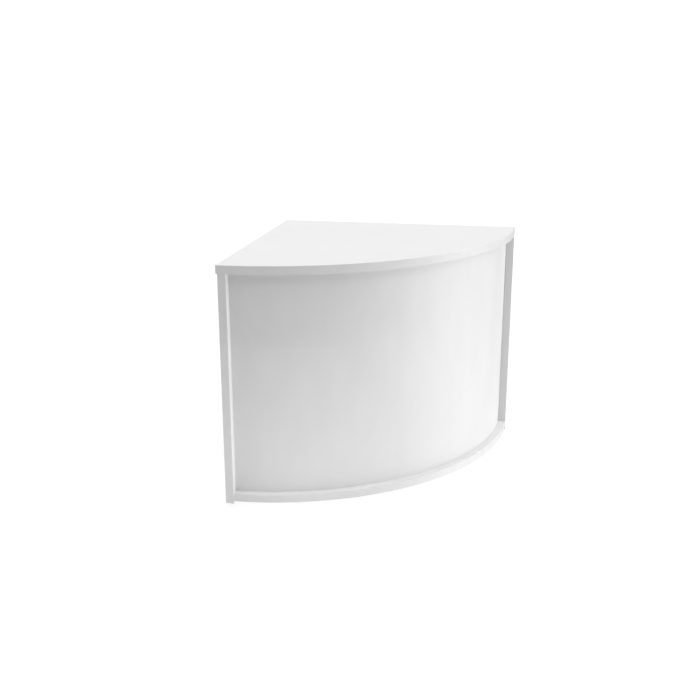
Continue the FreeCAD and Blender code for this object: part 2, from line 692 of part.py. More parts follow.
def foot_stem(name, x, y):
    """Threaded stem with a hexagonal collar; its neck turns in the pad above a riveted head."""
    body = sub_part("PartDesign::Body", f"{name}_foot_stem")
    profile = new_sketch(body, "profile", "XZ", "0")
    top = "(dims.foot_height + dims.stem_top)"
    draw_outline(
        profile,
        [
            ("0", "dims.head_lift"),
            ("dims.head_radius", "dims.head_lift"),
            ("dims.head_radius", HEAD_TOP),
            ("dims.neck_radius", HEAD_TOP),
            ("dims.neck_radius", COLLAR_BOTTOM),
            ("dims.stem_radius", COLLAR_BOTTOM),
            ("dims.stem_radius", f"{top} - dims.stem_chamfer"),
            ("dims.stem_radius - dims.stem_chamfer", top),
            ("0", top),
        ],
    )
    revolve(body, profile)
    collar = new_sketch(body, "collar", "XY", COLLAR_BOTTOM)
    corner = "dims.hex_flats / sqrt(3)"
    angles = [60 * step for step in range(6)]
    hexagon = [(f"{corner} * cos({a} deg)", f"{corner} * sin({a} deg)") for a in angles]
    draw_outline(collar, hexagon)
    pad(body, collar, "dims.hex_height")
    place_over_floor(body, x, y)


def foot_pad(name, x, y):
    """Moulded pad with a bore for the stem's neck and a recess for its riveted head."""
    body = sub_part("PartDesign::Body", f"{name}_foot_pad")
    profile = new_sketch(body, "profile", "XZ", "0")
    bore = "dims.neck_radius + dims.thread_gap"
    recess = "dims.head_radius + dims.head_side_gap"
    shoulder = f"{HEAD_TOP} + dims.turn_gap"
    draw_outline(
        profile,
        [
            (recess, "0"),
            ("dims.pad_radius - dims.pad_chamfer", "0"),
            ("dims.pad_radius", "dims.pad_chamfer"),
            ("dims.pad_radius", f"{PAD_TOP} - dims.pad_slope"),
            ("dims.pad_crown", PAD_TOP),
            (bore, PAD_TOP),
            (bore, shoulder),
            (recess, shoulder),
        ],
    )
    revolve(body, profile)
    place_over_floor(body, x, y)


def check(piece):
    """Stop if an object failed to compute or its solids are not sound."""
    if {"Invalid", "Error"} & set(piece.State):
        raise RuntimeError(f"{piece.Name}: {piece.State}")
    if piece in sub_parts and (piece.Shape.isNull() or not piece.Shape.isValid()):
        raise RuntimeError(f"{piece.Name} has no valid shape")


worktop()

curved_edging("worktop_curved_edging", "dims.reach", "0", PANEL_TOP)
worktop_side_edgings()
left_panel = end_panel("left")
right_panel = end_panel("right")
corner_joint_holes(left_panel, right_panel)
panel_edgings()
base_panel()
curved_edging("base_curved_edging", BASE_RADIUS, INNER, BASE_BOTTOM)
curved_fascia()
worktop_fixings()
base_fixings()
corner_fixings()
link_sleeves("left", "Y")
link_sleeves("right", "X")
foot_inserts()
centre_foot_block()
for foot, (foot_x, foot_y) in {**PANEL_FEET, "centre": CENTRE_FOOT}.items():
    foot_stem(foot, foot_x, foot_y)
    foot_pad(foot, foot_x, foot_y)

doc.recompute()
for item in doc.Objects:
    check(item)

os.makedirs("parts", exist_ok=True)
for piece in sub_parts:
    piece.Shape.exportStep(f"parts/{piece.Label}.step")
    print(f"{piece.Label}: {len(piece.Shape.Solids)} solids, {piece.Shape.Volume / 1000:.1f} cm3")
print(f"{len(sub_parts)} sub-parts")
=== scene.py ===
"""Looks of a white quarter-round corner counter unit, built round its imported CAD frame.

All lengths are in metres, in the unit's own frame: the floor is z = 0, the two straight
sides of the worktop face -X and +Y, and the curved front faces +X and -Y.
"""

import math

import bmesh
import bpy
from mathutils import Euler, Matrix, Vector


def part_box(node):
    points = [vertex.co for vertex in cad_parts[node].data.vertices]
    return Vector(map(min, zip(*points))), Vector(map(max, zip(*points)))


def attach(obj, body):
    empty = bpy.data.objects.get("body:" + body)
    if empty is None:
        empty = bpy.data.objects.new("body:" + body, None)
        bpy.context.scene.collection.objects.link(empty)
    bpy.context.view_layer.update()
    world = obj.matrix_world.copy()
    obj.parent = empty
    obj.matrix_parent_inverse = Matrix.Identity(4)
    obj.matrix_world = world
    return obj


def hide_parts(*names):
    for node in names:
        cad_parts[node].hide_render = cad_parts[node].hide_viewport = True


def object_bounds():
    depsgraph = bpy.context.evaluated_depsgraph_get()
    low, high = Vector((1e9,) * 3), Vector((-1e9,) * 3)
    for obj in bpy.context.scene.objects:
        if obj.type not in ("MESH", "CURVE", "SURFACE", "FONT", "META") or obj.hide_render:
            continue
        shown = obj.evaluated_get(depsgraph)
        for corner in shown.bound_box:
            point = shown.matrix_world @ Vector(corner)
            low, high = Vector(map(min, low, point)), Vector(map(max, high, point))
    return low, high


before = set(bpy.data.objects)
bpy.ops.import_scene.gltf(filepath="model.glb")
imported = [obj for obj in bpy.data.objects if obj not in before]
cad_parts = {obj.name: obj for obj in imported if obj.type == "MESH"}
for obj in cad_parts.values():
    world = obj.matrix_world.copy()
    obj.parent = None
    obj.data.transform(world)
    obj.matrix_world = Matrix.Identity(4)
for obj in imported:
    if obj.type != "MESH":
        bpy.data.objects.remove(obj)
cad_low, cad_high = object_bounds()

MM = 0.001

# The two straight sides of the worktop meet over the rear left corner, the apex.
APEX = Vector((cad_low.x, cad_high.y, 0.0))
EDGING_THICK = 2 * MM
EDGING_ROUND = 1 * MM
FASCIA_THICK = 8 * MM
FASCIA_ROUND = 0.3 * MM
# The scraped joint between an edging and its board leaves a hairline.
SEAM = 0.1 * MM
ARC_STEPS = 160

# Widest angle between faces, in degrees, that is still shaded as one smooth surface.
STRIP_SMOOTH = 60
TURNED_SMOOTH = 50
THREAD_SMOOTH = 32

# Levelling feet, M8 coarse, and link sleeves, M6 coarse.
FOOT_PITCH = 1.25 * MM
SLEEVE_PITCH = 1.0 * MM
THREAD_DEPTH_SHARE = 0.55
# Where the root's flat ends and the crest's begins, in pitches from the middle of the groove.
ROOT_END, CREST_START = 0.06, 0.38
RINGS_PER_PITCH = 10
STEM_SIDES = 40
TAP_SIDES = 32
HEX_FLATS = 13 * MM
COLLAR_LOW, COLLAR_HIGH = 7.2 * MM, 13.7 * MM
STEM_RADIUS = 4 * MM
NECK_RADIUS = 3 * MM
HEAD_RADIUS = 4.8 * MM
HEAD_LOW, HEAD_HIGH = 0.5 * MM, 1.6 * MM
SLEEVE_RADIUS = 5 * MM
SLEEVE_BORE = 3 * MM
SLEEVE_LONG = 13 * MM

FEET = ("left_front", "left_rear", "right_front", "right_rear", "centre")


# ---------------------------------------------------------------- small helpers


def linear(hex_colour):
    """An sRGB hex colour as linear RGBA, by the sRGB curve's straight toe and power."""
    channels = [int(hex_colour[i : i + 2], 16) / 255 for i in (1, 3, 5)]
    return (*[c / 12.92 if c <= 0.04045 else ((c + 0.055) / 1.055) ** 2.4 for c in channels], 1)


def add_node(tree, kind, inputs=None, **settings):
    """Add a node: settings are its properties; inputs are values, or nodes or sockets to link."""
    made = tree.nodes.new(kind)
    for name, setting in settings.items():
        setattr(made, name, setting)
    for key, given in (inputs or {}).items():
        if isinstance(given, bpy.types.Node):
            given = given.outputs[0]
        if isinstance(given, bpy.types.NodeSocket):
            tree.links.new(given, made.inputs[key])
        else:
            made.inputs[key].default_value = given
    return made


def new_object(name, mesh):
    """A mesh object at the origin, linked to the scene."""
    made = bpy.data.objects.new(name, mesh)
    bpy.context.scene.collection.objects.link(made)
    return made


def evaluated_mesh(piece):
    """The mesh that an object's modifiers give, as plain data."""
    return bpy.data.meshes.new_from_object(
        piece.evaluated_get(bpy.context.evaluated_depsgraph_get())
    )


def shaded(piece, sharpest):
    """Smooth shading that leaves flats flat and keeps edges over an angle in degrees crisp."""
    piece.data.polygons.foreach_set("use_smooth", [True] * len(piece.data.polygons))
    piece.data.set_sharp_from_angle(angle=math.radians(sharpest))
    weighted = piece.modifiers.new("even_normals", "WEIGHTED_NORMAL")
    weighted.keep_sharp = True
    weighted.weight = 100
    plain = evaluated_mesh(piece)
    piece.modifiers.remove(weighted)
    piece.data = plain
    return piece


def settle(piece, body, node, material):
    """Dress a finished piece, let it ride on its body and stand for its CAD node."""
    piece.data.materials.clear()
    piece.data.materials.append(material)
    piece.data.name = piece.name
    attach(piece, body)
    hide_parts(node)


def solid_boxes(node):
    """Lowest and highest corner of each separate solid in a CAD node."""
    copy = bmesh.new()
    copy.from_mesh(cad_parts[node].data)
    bmesh.ops.remove_doubles(copy, verts=copy.verts, dist=0.001 * MM)
    waiting = set(copy.verts)
    boxes = []
    while waiting:
        found = {waiting.pop()}
        reached = list(found)
        while reached:
            vertex = reached.pop()
            for link in vertex.link_edges:
                other = link.other_vert(vertex)
                if other in waiting:
                    waiting.discard(other)
                    found.add(other)
                    reached.append(other)
        low = Vector(min(v.co[i] for v in found) for i in range(3))
        high = Vector(max(v.co[i] for v in found) for i in range(3))
        boxes.append((low, high))
    copy.free()
    return sorted(boxes, key=lambda box: tuple(round(c, 5) for c in box[0]))


# ---------------------------------------------------------------- turned and cut shapes


def eased(profile, reach, closed=False):
    """A profile of (radius, height) points with each corner cut to a short curve."""
    points = [Vector(p) for p in profile]
    smooth = []
    for i, corner in enumerate(points):
        if not closed and i in (0, len(points) - 1):
            smooth.append(corner)
            continue
        ends = []
        for other in (points[i - 1], points[(i + 1) % len(points)]):
            side = other - corner
            ends.append(corner + side * min(reach / side.length, 0.4))
        smooth += [ends[0], (ends[0] + ends[1] + 2 * corner) / 4, ends[1]]
    return [tuple(p) for p in smooth]


def turned(shape, profile, sides=48, closed=False):
    """Turn a profile about z. A profile point may be a function of the angle."""
    angles = [2 * math.pi * i / sides for i in range(sides)]
    rings = []
    for point in profile:
        at = [point(a) if callable(point) else point for a in angles]
        if max(radius for radius, height in at) == 0:
            rings.append([shape.verts.new((0, 0, at[0][1]))] * sides)
        else:
            rings.append(
                [
                    shape.verts.new((radius * math.cos(a), radius * math.sin(a), height))
                    for a, (radius, height) in zip(angles, at)
                ]
            )
    pairs = list(zip(rings, rings[1:])) + ([(rings[-1], rings[0])] if closed else [])
    for low, high in pairs:
        for i in range(sides):
            j = (i + 1) % sides
            corners = list(dict.fromkeys((low[i], low[j], high[j], high[i])))
            shape.faces.new(corners)
    bmesh.ops.recalc_face_normals(shape, faces=shape.faces)


def mesh_of(name, fill, *values, **named):
    """A mesh filled in by a function that adds to a bmesh."""
    shape = bmesh.new()
    fill(shape, *values, **named)
    mesh = bpy.data.meshes.new(name)
    shape.to_mesh(mesh)
    shape.free()
    return mesh


def straight_strip(shape, low, high, outward):
    """An edging strip between two corners, its two long outer arrises scraped round."""
    made = bmesh.ops.create_cube(shape, size=1.0)["verts"]
    middle, size = (low + high) / 2, high - low
    for vertex in made:
        vertex.co = middle + Vector(vertex.co[i] * size[i] for i in range(3))
    along = max(range(3), key=lambda i: size[i])
    axis = max(range(3), key=lambda i: abs(outward[i]))
    face = (high if outward[axis] > 0 else low)[axis]

    def lies_outside(edge):
        """Whether an edge is on the strip's outer face."""
        return all(abs(v.co[axis] - face) < EDGING_THICK / 4 for v in edge.verts)

    def runs_along(edge):
        """Whether an edge runs the length of the strip."""
        return abs(edge.verts[0].co[along] - edge.verts[1].co[along]) > size[along] / 2

    for outside, offset, steps in ((True, EDGING_ROUND, 4), (False, SEAM, 1)):
        arrises = [e for e in shape.edges if runs_along(e) and lies_outside(e) == outside]
        arrises = [e for e in arrises if len({round(v.co[axis], 6) for v in e.verts}) == 1]
        if not outside:
            inner = (low if outward[axis] > 0 else high)[axis]
            arrises = [e for e in arrises if abs(e.verts[0].co[axis] - inner) < SEAM / 4]
        bmesh.ops.bevel(
            shape,
            geom=arrises,
            offset=offset,
            segments=steps,
            profile=0.5,
            affect="EDGES",
        )
    bmesh.ops.recalc_face_normals(shape, faces=shape.faces)


def hexagon_radius(angle):
    """Distance from the middle to the side of the hexagon at an angle."""
    return HEX_FLATS / 2 / math.cos(angle % (math.pi / 3) - math.pi / 6)


def collar_rim(level, inward):
    """A rim of the hexagonal collar, its six corners turned down to a cone of 30 degrees."""

    def rim(angle):
        """Radius and height of the rim at an angle."""
        radius = hexagon_radius(angle)
        return radius, level + inward * (radius - HEX_FLATS / 2) * math.tan(math.radians(30))

    return rim


def turned_stem(shape):
    """The unthreaded end of a foot stem: riveted head, neck and hexagonal collar."""
    flat = HEX_FLATS / 2 - 0.1 * MM
    profile = [
        (0.0, HEAD_LOW),
        (HEAD_RADIUS - 0.5 * MM, HEAD_LOW),
        (HEAD_RADIUS, HEAD_LOW + 0.4 * MM),
        (HEAD_RADIUS, HEAD_HIGH - 0.2 * MM),
        (HEAD_RADIUS - 0.2 * MM, HEAD_HIGH),
        (NECK_RADIUS, HEAD_HIGH),
        (NECK_RADIUS, COLLAR_LOW),
        (flat, COLLAR_LOW),
        collar_rim(COLLAR_LOW, 1),
        collar_rim(COLLAR_HIGH, -1),
        (flat, COLLAR_HIGH),
        (STEM_RADIUS * 0.9, COLLAR_HIGH),
        (0.0, COLLAR_HIGH),
    ]
    turned(shape, profile, sides=72)


def pad_profile():
    """Section of a foot pad: recess for the head, two grip grooves, sloped shoulder, bore.

    The outline is (radius, height) in millimetres, as in the two sections below.
    """
    groove = 0.5
    outline = [(5.3, 0), (7.0, 0), (7.2, groove), (8.2, groove), (8.4, 0)]
    outline += [(9.4, 0), (9.6, groove), (10.4, groove), (10.6, 0)]
    outline += [(11.2, 0), (12, 0.8), (12, 4.4), (9, 6.9), (3.05, 6.9), (3.05, 1.9), (5.3, 1.9)]
    return eased([(r * MM, z * MM) for r, z in outline], 0.35 * MM, closed=True)


def cap_profile():
    """Section of a cam cover cap about its middle: domed rim round a slightly sunk face."""
    outline = [(0, 0.6), (8.5, 0.6), (8.5, 0.1), (7.7, -0.6), (6.6, -0.6), (6.2, -0.35), (0, -0.35)]
    return eased([(r * MM, z * MM) for r, z in outline], 0.4 * MM)


def insert_profile():
    """Section of a foot insert about its middle: thin flange below, bored barrel above."""
    outline = [(4.05, -8), (10, -8), (10, -7), (5.5, -7), (5.5, 8), (4.05, 8)]
    return eased([(r * MM, z * MM) for r, z in outline], 0.25 * MM, closed=True)


def sleeve_profile():
    """Section of a link sleeve's blank, its mouth at z = 0 and its end below."""
    lead = 0.4 * MM
    return [
        (0.0, -SLEEVE_LONG),
        (SLEEVE_RADIUS - lead, -SLEEVE_LONG),
        (SLEEVE_RADIUS, lead - SLEEVE_LONG),
        (SLEEVE_RADIUS, -lead / 2),
        (SLEEVE_RADIUS - lead / 2, 0.0),
        (SLEEVE_BORE + lead, 0.0),
        (SLEEVE_BORE - lead, -2 * lead),
        (0.0, -2 * lead),
    ]


# ---------------------------------------------------------------- node trees for shapes


def new_tree(name, sizes, takes_geometry=False):
    """An empty geometry tree with named inputs and one geometry output."""
    tree = bpy.data.node_groups.new(name, "GeometryNodeTree")
    if takes_geometry:
        tree.interface.new_socket("Geometry", in_out="INPUT", socket_type="NodeSocketGeometry")
    for label, kind in sizes:
        tree.interface.new_socket(label, in_out="INPUT", socket_type=f"NodeSocket{kind}")
    tree.interface.new_socket("Geometry", in_out="OUTPUT", socket_type="NodeSocketGeometry")
    return tree, add_node(tree, "NodeGroupInput").outputs


def close_tree(tree, geometry, material):
    """End a tree in real meshes with their material on."""
    real = add_node(tree, "GeometryNodeRealizeInstances", {"Geometry": geometry})
    dressed = add_node(
        tree, "GeometryNodeSetMaterial", {"Geometry": real, "Material": material}
    )
    add_node(tree, "NodeGroupOutput", {"Geometry": dressed})


def grown(name, tree, values, start=None):
    """An object whose plain mesh is what a tree gives with these input values."""
    piece = new_object(name, start or bpy.data.meshes.new(name))
    modifier = piece.modifiers.new("shape", "NODES")
    modifier.node_group = tree
    for item in tree.interface.items_tree:
        if item.in_out == "INPUT" and item.name in values:
            modifier[item.identifier] = values[item.name]
    mesh = evaluated_mesh(piece)
    piece.modifiers.remove(modifier)
    piece.data = mesh
    return piece


def bent_strip_tree():
    """A rectangular strip bent round an upright axis, with its two outer arrises rounded."""
    tree, sizes = new_tree(
        "bent_strip",
        [
            ("Outer Radius", "Float"),
            ("Thickness", "Float"),
            ("Height", "Float"),
            ("Rounding", "Float"),
            ("Seam", "Float"),
            ("Start Angle", "Float"),
            ("Sweep Angle", "Float"),
            ("Centre", "Vector"),
            ("Steps", "Int"),
            ("Material", "Material"),
        ],
    )
    half = add_node(
        tree, "ShaderNodeMath", {0: sizes["Thickness"], 1: 0.5}, operation="MULTIPLY"
    )
    middle = add_node(
        tree, "ShaderNodeMath", {0: sizes["Outer Radius"], 1: half}, operation="SUBTRACT"
    )
    arc = add_node(
        tree,
        "GeometryNodeCurveArc",
        {
            "Resolution": sizes["Steps"],
            "Radius": middle,
            "Start Angle": sizes["Start Angle"],
            "Sweep Angle": sizes["Sweep Angle"],
        },
    )
    # with the arc's normals level, the section's x runs outwards and its y up the strip
    level = add_node(tree, "GeometryNodeSetCurveNormal", {"Curve": arc}, mode="Z_UP")
    section = add_node(
        tree,
        "GeometryNodeCurvePrimitiveQuadrilateral",
        {"Width": sizes["Thickness"], "Height": sizes["Height"]},
    )
    place = add_node(tree, "GeometryNodeInputPosition")
    axes = add_node(tree, "ShaderNodeSeparateXYZ", {0: place})
    outside = add_node(
        tree, "ShaderNodeMath", {0: axes.outputs["X"], 1: 0.0}, operation="GREATER_THAN"
    )
    corner = add_node(
        tree,
        "ShaderNodeMapRange",
        {"Value": outside, "To Min": sizes["Seam"], "To Max": sizes["Rounding"]},
    )
    rounded = add_node(
        tree,
        "GeometryNodeFilletCurve",
        {"Curve": section, "Radius": corner, "Count": 4},
        mode="POLY",
    )
    swept = add_node(
        tree,
        "GeometryNodeCurveToMesh",
        {"Curve": level, "Profile Curve": rounded, "Fill Caps": True},
    )
    placed = add_node(
        tree, "GeometryNodeTransform", {"Geometry": swept, "Translation": sizes["Centre"]}
    )
    close_tree(tree, placed, sizes["Material"])
    return tree


def thread_tree():
    """A threaded rod along z: a cylinder whose wall is pushed in along one helical groove."""
    tree, sizes = new_tree(
        "metric_thread",
        [
            ("Radius", "Float"),
            ("Length", "Float"),
            ("Pitch", "Float"),
            ("Depth", "Float"),
            ("Lead In", "Float"),
            ("Centre", "Vector"),
            ("Sides", "Int"),
            ("Rings", "Int"),
            ("Material", "Material"),
        ],
    )
    bar = add_node(
        tree,
        "GeometryNodeMeshCylinder",
        {
            "Vertices": sizes["Sides"],
            "Side Segments": sizes["Rings"],
            "Radius": sizes["Radius"],
            "Depth": sizes["Length"],
        },
    )
    place = add_node(tree, "GeometryNodeInputPosition")
    axes = add_node(tree, "ShaderNodeSeparateXYZ", {0: place}).outputs
    angle = add_node(tree, "ShaderNodeMath", {0: axes["Y"], 1: axes["X"]}, operation="ARCTAN2")
    share = add_node(tree, "ShaderNodeMath", {0: angle, 1: 2 * math.pi}, operation="DIVIDE")
    turns = add_node(
        tree, "ShaderNodeMath", {0: axes["Z"], 1: sizes["Pitch"]}, operation="DIVIDE"
    )
    offset = add_node(tree, "ShaderNodeMath", {0: turns, 1: share}, operation="SUBTRACT")
    phase = add_node(tree, "ShaderNodeMath", {0: offset}, operation="FRACT")
    centred = add_node(tree, "ShaderNodeMath", {0: phase, 1: 0.5}, operation="SUBTRACT")
    # 0 in the middle of the groove, 0.5 in the middle of the crest
    flank = add_node(tree, "ShaderNodeMath", {0: centred}, operation="ABSOLUTE")
    groove = add_node(
        tree,
        "ShaderNodeMapRange",
        {
            "Value": flank,
            "From Min": ROOT_END,
            "From Max": CREST_START,
            "To Min": sizes["Depth"],
            "To Max": 0.0,
        },
    )
    half = add_node(tree, "ShaderNodeMath", {0: sizes["Length"], 1: 0.5}, operation="MULTIPLY")
    from_tip = add_node(tree, "ShaderNodeMath", {0: half, 1: axes["Z"]}, operation="SUBTRACT")
    lead = add_node(
        tree, "ShaderNodeMath", {0: sizes["Lead In"], 1: from_tip}, operation="SUBTRACT"
    )
    cut = add_node(tree, "ShaderNodeMath", {0: groove, 1: lead}, operation="MAXIMUM")
    removed = add_node(
        tree, "ShaderNodeMath", {0: cut, 1: sizes["Radius"]}, operation="DIVIDE"
    )
    kept = add_node(tree, "ShaderNodeMath", {0: 1.0, 1: removed}, operation="SUBTRACT")
    scale = add_node(tree, "ShaderNodeCombineXYZ", {"X": kept, "Y": kept, "Z": 1.0})
    moved = add_node(tree, "ShaderNodeVectorMath", {0: place, 1: scale}, operation="MULTIPLY")
    shaped = add_node(
        tree, "GeometryNodeSetPosition", {"Geometry": bar.outputs["Mesh"], "Position": moved}
    )
    placed = add_node(
        tree, "GeometryNodeTransform", {"Geometry": shaped, "Translation": sizes["Centre"]}
    )
    close_tree(tree, placed, sizes["Material"])
    return tree


def scatter_tree():
    """One fastener on every vertex of the mesh that the tree is given."""
    tree, sizes = new_tree(
        "fasteners",
        [("Fastener", "Object"), ("Turn", "Vector"), ("Material", "Material")],
        takes_geometry=True,
    )
    pattern = add_node(tree, "GeometryNodeObjectInfo", {"Object": sizes["Fastener"]})
    turn = add_node(tree, "FunctionNodeEulerToRotation", {0: sizes["Turn"]})
    placed = add_node(
        tree,
        "GeometryNodeInstanceOnPoints",
        {
            "Points": sizes["Geometry"],
            "Instance": pattern.outputs["Geometry"],
            "Rotation": turn,
        },
    )
    close_tree(tree, placed, sizes["Material"])
    return tree


# ---------------------------------------------------------------- materials


def surface(name, colours, patch, roughness, skins, metallic=0.0, ior=1.5, grain=(1, 1, 1)):
    """A material of clouded colour and roughness over one or more layers of fine relief.

    colours and roughness each run from low to high over patches of that size in metres;
    a skin is (size, depth) in metres, from coarse to fine; grain stretches every pattern.
    """
    material = bpy.data.materials.new(name)
    material.use_nodes = True
    tree = material.node_tree
    tree.nodes.clear()
    settings = {"Metallic": metallic} if metallic else {"IOR": ior}
    shader = add_node(tree, "ShaderNodeBsdfPrincipled", settings)
    add_node(tree, "ShaderNodeOutputMaterial", {"Surface": shader})
    coordinates = add_node(tree, "ShaderNodeTexCoord").outputs["Object"]
    place = add_node(tree, "ShaderNodeMapping", {"Vector": coordinates, "Scale": grain})
    cloud = add_node(
        tree, "ShaderNodeTexNoise", {"Vector": place, "Scale": 1 / patch, "Detail": 3.0}
    )
    ramp = add_node(tree, "ShaderNodeValToRGB", {"Fac": cloud})
    for stop, position, colour in zip(ramp.color_ramp.elements, (0.3, 0.7), colours):
        stop.position = position
        stop.color = linear(colour)
    tree.links.new(ramp.outputs[0], shader.inputs["Base Color"])
    limits = {"From Min": 0.3, "From Max": 0.7, "To Min": roughness[0], "To Max": roughness[1]}
    sheen = add_node(tree, "ShaderNodeMapRange", {"Value": cloud, **limits})
    tree.links.new(sheen.outputs[0], shader.inputs["Roughness"])
    relief = None
    for size, depth in skins:
        skin = add_node(
            tree, "ShaderNodeTexNoise", {"Vector": place, "Scale": 1 / size, "Detail": 2.0}
        )
        under = {"Normal": relief} if relief else {}
        relief = add_node(tree, "ShaderNodeBump", {"Height": skin, "Distance": depth, **under})
    tree.links.new(relief.outputs[0], shader.inputs["Normal"])
    return material


def sawn_underside(material, level):
    """Show raw chipboard where a board's faces look down below a level.

    A sawn chipboard edge is tan wood chips of about 1 to 4 mm that lie flat in the board,
    lighter and darker by turns, with ragged outlines where the saw tore them.
    """
    tree = material.node_tree
    shader = next(n for n in tree.nodes if n.type == "BSDF_PRINCIPLED")
    face_colour = shader.inputs["Base Color"].links[0].from_socket
    geometry = add_node(tree, "ShaderNodeNewGeometry").outputs
    facing = add_node(tree, "ShaderNodeSeparateXYZ", {0: geometry["True Normal"]}).outputs["Z"]
    place = add_node(tree, "ShaderNodeTexCoord").outputs["Object"]
    height = add_node(tree, "ShaderNodeSeparateXYZ", {0: place}).outputs["Z"]
    down = add_node(tree, "ShaderNodeMath", {0: facing, 1: -0.5}, operation="LESS_THAN")
    low = add_node(tree, "ShaderNodeMath", {0: height, 1: level}, operation="LESS_THAN")
    sawn = add_node(tree, "ShaderNodeMath", {0: down, 1: low}, operation="MULTIPLY")
    ragged = add_node(
        tree, "ShaderNodeTexNoise", {"Vector": place, "Scale": 1 / (1.2 * MM), "Detail": 3.0}
    )
    tears = add_node(
        tree,
        "ShaderNodeVectorMath",
        {0: ragged.outputs["Color"], 1: (2 * MM, 2 * MM, 2 * MM)},
        operation="MULTIPLY",
    )
    torn = add_node(tree, "ShaderNodeVectorMath", {0: place, 1: tears}, operation="ADD")
    chips = add_node(tree, "ShaderNodeTexVoronoi", {"Vector": torn, "Scale": 1 / (2.2 * MM)})
    shade = add_node(tree, "ShaderNodeSeparateXYZ", {0: chips.outputs["Color"]})
    ramp = add_node(tree, "ShaderNodeValToRGB", {"Fac": shade})
    ramp.color_ramp.elements[0].color = linear("#977750")
    ramp.color_ramp.elements[1].color = linear("#CDB084")
    mixed = add_node(
        tree, "ShaderNodeMix", {0: sawn, 6: face_colour, 7: ramp}, data_type="RGBA"
    )
    tree.links.new(mixed.outputs[2], shader.inputs["Base Color"])


# White melamine-faced chipboard, pressed between textured plates. The face is matt, with a
# fine pearl that breaks up reflections, and so large a board is never quite flat.
BOARD_SKINS = ((160 * MM, 0.08 * MM), (1.5 * MM, 0.02 * MM))
BOARD_LOOK = (("#EDEDED", "#EFEFEF"), 120 * MM, (0.46, 0.54), BOARD_SKINS)
melamine = surface("pressed_white_melamine", *BOARD_LOOK)
melamine_sawn = surface("pressed_white_melamine_sawn", *BOARD_LOOK)
sawn_underside(melamine_sawn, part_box("left_end_panel")[0].z + 1 * MM)

# White ABS edging, extruded, glued on and scraped flush: satin, a little glossier than the
# board, with the scraper's faint chatter along its face.
abs_edging = surface(
    "scraped_white_abs",
    ("#EAEAEA", "#EDEDED"),
    30 * MM,
    (0.36, 0.44),
    ((9 * MM, 0.02 * MM), (1.2 * MM, 0.008 * MM)),
)

# White laminate glued over bent MDF: matt, with a slight upright waviness from the bending.
fascia_laminate = surface(
    "white_laminate_on_bent_mdf",
    ("#EAEAEA", "#EDEDED"),
    60 * MM,
    (0.43, 0.50),
    ((60 * MM, 0.02 * MM), (1.5 * MM, 0.015 * MM)),
    grain=(1, 1, 0.4),
)

# Sawn MDF: even brown fibre, a little darker where resin shows.
raw_mdf = surface(
    "sawn_mdf", ("#A48158", "#B9976C"), 8 * MM, (0.8, 0.9), ((0.8 * MM, 0.06 * MM),)
)

# Turned beech: pale pink-brown with fine darker flecks along the grain.
beech = surface(
    "turned_beech", ("#C08F61", "#DDB68B"), 1.2 * MM, (0.55, 0.65), ((0.8 * MM, 0.03 * MM),)
)

# Die-cast zinc alloy: dull grey with a faint flow pattern from the die.
cast_zinc = surface(
    "die_cast_zinc",
    ("#9C9DA0", "#B0B1B3"),
    4 * MM,
    (0.42, 0.58),
    ((2 * MM, 0.02 * MM),),
    metallic=1.0,
)

# Turned steel with bright zinc plating: cool silver, smooth, with small cloudy spots.
plated_steel = surface(
    "zinc_plated_turned_steel",
    ("#BFC3C8", "#D2D4D7"),
    2.5 * MM,
    (0.24, 0.38),
    ((1.5 * MM, 0.004 * MM),),
    metallic=1.0,
)

# White moulded plastic with the fine spark-eroded skin of its mould.
white_plastic = surface(
    "moulded_white_plastic",
    ("#E8E8E6", "#EEEEEC"),
    6 * MM,
    (0.4, 0.5),
    ((0.5 * MM, 0.015 * MM),),
)

# Black moulded nylon: near black, a soft sheen, slightly lighter where it scuffs.
black_nylon = surface(
    "moulded_black_nylon",
    ("#17181A", "#242528"),
    5 * MM,
    (0.4, 0.52),
    ((0.5 * MM, 0.02 * MM),),
    ior=1.53,
)


# ---------------------------------------------------------------- boards and hidden fixings

for panel in ("left_end_panel", "right_end_panel"):
    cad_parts[panel].material_slots[0].material = melamine_sawn

KEPT_FINISHES = {
    "worktop": melamine,
    "base_panel": melamine,
    "centre_foot_block": raw_mdf,
    "worktop_dowels": beech,
    "base_dowels": beech,
    "corner_dowels": beech,
    "worktop_cams": cast_zinc,
    "base_cams": cast_zinc,
    "corner_cams": cast_zinc,
    "worktop_cam_bolts": plated_steel,
    "base_cam_bolts": plated_steel,
    "corner_cam_bolts": plated_steel,
}
for name, finish in KEPT_FINISHES.items():
    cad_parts[name].material_slots[0].material = finish


# ---------------------------------------------------------------- bent pieces

bent_strip = bent_strip_tree()

for name, thick, rounding, material, slot in (
    ("worktop_curved_edging", EDGING_THICK, EDGING_ROUND, abs_edging, "abs_edging"),
    ("base_curved_edging", EDGING_THICK, EDGING_ROUND, abs_edging, "abs_edging"),
    ("curved_fascia", FASCIA_THICK, FASCIA_ROUND, fascia_laminate, "laminated_mdf"),
):
    low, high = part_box(name)
    # both ends stop the same distance short of the straight sides
    inset = APEX.y - high.y
    outer = math.hypot(high.x - APEX.x, inset)
    lean = math.asin(inset / (outer - thick))
    piece = grown(
        f"{name}_bent",
        bent_strip,
        {
            "Outer Radius": outer,
            "Thickness": thick,
            "Height": high.z - low.z,
            "Rounding": rounding,
            "Seam": SEAM,
            "Start Angle": lean - math.pi / 2,
            "Sweep Angle": math.pi / 2 - 2 * lean,
            "Centre": (APEX.x, APEX.y, (low.z + high.z) / 2),
            "Steps": ARC_STEPS,
            "Material": material,
        },
    )
    settle(shaded(piece, STRIP_SMOOTH), "carcass", name, material)


# ---------------------------------------------------------------- straight edgings

